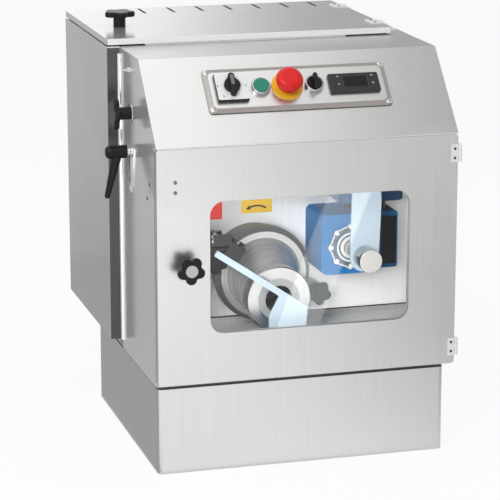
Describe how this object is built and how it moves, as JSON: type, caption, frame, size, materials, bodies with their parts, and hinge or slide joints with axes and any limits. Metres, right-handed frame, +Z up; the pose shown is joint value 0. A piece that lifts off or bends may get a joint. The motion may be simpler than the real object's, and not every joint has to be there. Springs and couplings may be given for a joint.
{
  "type": "dough divider",
  "caption": "Floor-standing dough divider with an auger hopper under a hinged lid, a windowed front door, a swinging portion knife, a sensing flap and a sloped control face.",
  "frame": {"origin": "on the floor under the middle of the machine's outline, on the base's rear lower rim", "axes": "+Z up, -Y towards the door and the operator, +X towards the door's hinge side"},
  "size_m": [0.5352, 0.881, 0.6754],
  "materials": {
    "stainless": "brushed stainless sheet",
    "machined_steel": "machined",
    "polished_steel": "polished",
    "chrome": "polished",
    "hinge_steel": "satin",
    "white_plastic": "smooth",
    "blue_paint": "satin paint",
    "cast_aluminium": "cast",
    "black_plastic": "fine grain",
    "control_frame": "polished",
    "control_plate": "satin",
    "clear_pane": "clear",
    "blade_steel": "polished, bluish sheen",
    "stop_red": "glossy",
    "stop_yellow": "satin",
    "start_green": "glossy",
    "display": "dark display",
    "key_grey": "satin",
    "cable_black": "smooth sheath"
  },
  "bodies": {
    "frame": {"base_skirt": "stainless", "floor_plate": "stainless", "chute_slide": "stainless", "partition": "stainless", "front_hood": "stainless", "control_tray": "stainless", "body_shell": "stainless", "top_deck": "stainless", "hopper": "stainless", "rear_cover": "stainless", "auger_barrel": "machined_steel", "outlet_cone": "polished_steel", "nozzle_ring": "polished_steel", "start_bezel": "chrome", "selector_bezel": "chrome", "door_hinge_posts": "hinge_steel", "lid_hinge_posts": "hinge_steel", "nozzle_insert": "white_plastic", "knife_gearbox": "blue_paint", "knife_motor": "blue_paint", "drive_gearbox": "blue_paint", "drive_motor": "blue_paint", "gearbox_cover": "cast_aluminium", "cam_switch_body": "black_plastic", "controller_case": "black_plastic", "control_bezel": "control_frame", "control_plate": "control_plate", "stop_collar": "stop_yellow", "controller_display": "display"},
    "door": {"door_panel": "stainless", "window_pane": "clear_pane", "window_frame": "stainless", "door_hinge_leaves": "hinge_steel"},
    "door_latch_set": {"door_knob": "black_plastic", "door_latch": "machined_steel"},
    "lid": {"lid_panel": "stainless", "lid_hinge_leaves": "hinge_steel", "lid_knob": "black_plastic"},
    "auger": {"auger_screw": "machined_steel"},
    "knife": {"knife_shaft": "machined_steel", "knife_blade": "blade_steel", "knife_cap": "chrome"},
    "carriage": {"flap_carriage": "cast_aluminium", "flap_sensor": "chrome", "sensor_cable": "cable_black"},
    "flap": {"flap_plate": "blade_steel", "flap_clamp": "cast_aluminium"},
    "lever": {"clamp_lever": "black_plastic", "lever_stud": "chrome"},
    "side_knob": {"side_knob": "black_plastic"},
    "cone_knob_right": {"cone_knob_right": "black_plastic"},
    "cone_knob_left": {"cone_knob_left": "black_plastic"},
    "main_switch": {"switch_handle": "black_plastic"},
    "start_button": {"start_button": "start_green"},
    "stop_button": {"stop_head": "stop_red"},
    "selector": {"selector_knob": "black_plastic"},
    "key_1": {"controller_key_1": "key_grey"},
    "key_2": {"controller_key_2": "key_grey"},
    "key_3": {"controller_key_3": "key_grey"},
    "key_4": {"controller_key_4": "key_grey"}
  },
  "joints": [
    {"name": "door_hinge", "type": "hinge", "parent": "frame", "child": "door", "pos_m": [0.2646, -0.4085, 0.33], "axis": [0, 0, 1], "range_deg": [0, 115]},
    {"name": "door_knob_turn", "type": "hinge", "parent": "door", "child": "door_latch_set", "pos_m": [-0.1771, -0.4095, 0.333], "axis": [0, -1, 0], "range_deg": [0, 90]},
    {"name": "lid_hinge", "type": "hinge", "parent": "frame", "child": "lid", "pos_m": [0.2399, 0.0005, 0.6455], "axis": [0, 1, 0], "range_deg": [0, 105]},
    {"name": "auger_spin", "type": "hinge", "parent": "frame", "child": "auger", "pos_m": [-0.0126, -0.0095, 0.273], "axis": [0, 1, 0], "continuous": true},
    {"name": "knife_swing", "type": "hinge", "parent": "frame", "child": "knife", "pos_m": [0.1269, -0.3095, 0.315], "axis": [0, -1, 0], "range_deg": [0, 135]},
    {"name": "flap_slide", "type": "slide", "parent": "frame", "child": "carriage", "axis": [0, 0, -1], "range_m": [0, 0.045]},
    {"name": "flap_swing", "type": "hinge", "parent": "carriage", "child": "flap", "pos_m": [-0.1441, -0.3635, 0.345], "axis": [-1, 0, 0], "range_deg": [0, 6]},
    {"name": "lever_turn", "type": "hinge", "parent": "carriage", "child": "lever", "pos_m": [-0.2241, -0.2395, 0.483], "axis": [1, 0, 0], "range_deg": [-75, 75]},
    {"name": "side_knob_turn", "type": "hinge", "parent": "frame", "child": "side_knob", "pos_m": [-0.2241, -0.2395, 0.544], "axis": [1, 0, 0], "range_deg": [-180, 180]},
    {"name": "cone_knob_right_turn", "type": "hinge", "parent": "frame", "child": "cone_knob_right", "pos_m": [0.07385, -0.2645, 0.24153], "axis": [0, 1, 0], "range_deg": [-180, 180]},
    {"name": "cone_knob_left_turn", "type": "hinge", "parent": "frame", "child": "cone_knob_left", "pos_m": [-0.09905, -0.2645, 0.30447], "axis": [0, 1, 0], "range_deg": [-180, 180]},
    {"name": "main_switch_turn", "type": "hinge", "parent": "frame", "child": "main_switch", "pos_m": [-0.0891, -0.34209, 0.59258], "axis": [0, 0.725, -0.6887], "range_deg": [0, 90]},
    {"name": "start_press", "type": "slide", "parent": "frame", "child": "start_button", "axis": [0, 0.725, -0.6887], "range_m": [0, 0.004], "stiffness_N_per_m": 300},
    {"name": "stop_press", "type": "slide", "parent": "frame", "child": "stop_button", "axis": [0, 0.725, -0.6887], "range_m": [0, 0.004]},
    {"name": "selector_turn", "type": "hinge", "parent": "frame", "child": "selector", "pos_m": [0.0439, -0.34278, 0.59186], "axis": [0, 0.725, -0.6887], "range_deg": [0, 90]},
    {"name": "key_1_press", "type": "slide", "parent": "frame", "child": "key_1", "axis": [0, 0.725, -0.6887], "range_m": [0, 0.0008], "stiffness_N_per_m": 200},
    {"name": "key_2_press", "type": "slide", "parent": "frame", "child": "key_2", "axis": [0, 0.725, -0.6887], "range_m": [0, 0.0008], "stiffness_N_per_m": 200},
    {"name": "key_3_press", "type": "slide", "parent": "frame", "child": "key_3", "axis": [0, 0.725, -0.6887], "range_m": [0, 0.0008], "stiffness_N_per_m": 200},
    {"name": "key_4_press", "type": "slide", "parent": "frame", "child": "key_4", "axis": [0, 0.725, -0.6887], "range_m": [0, 0.0008], "stiffness_N_per_m": 200}
  ]
}
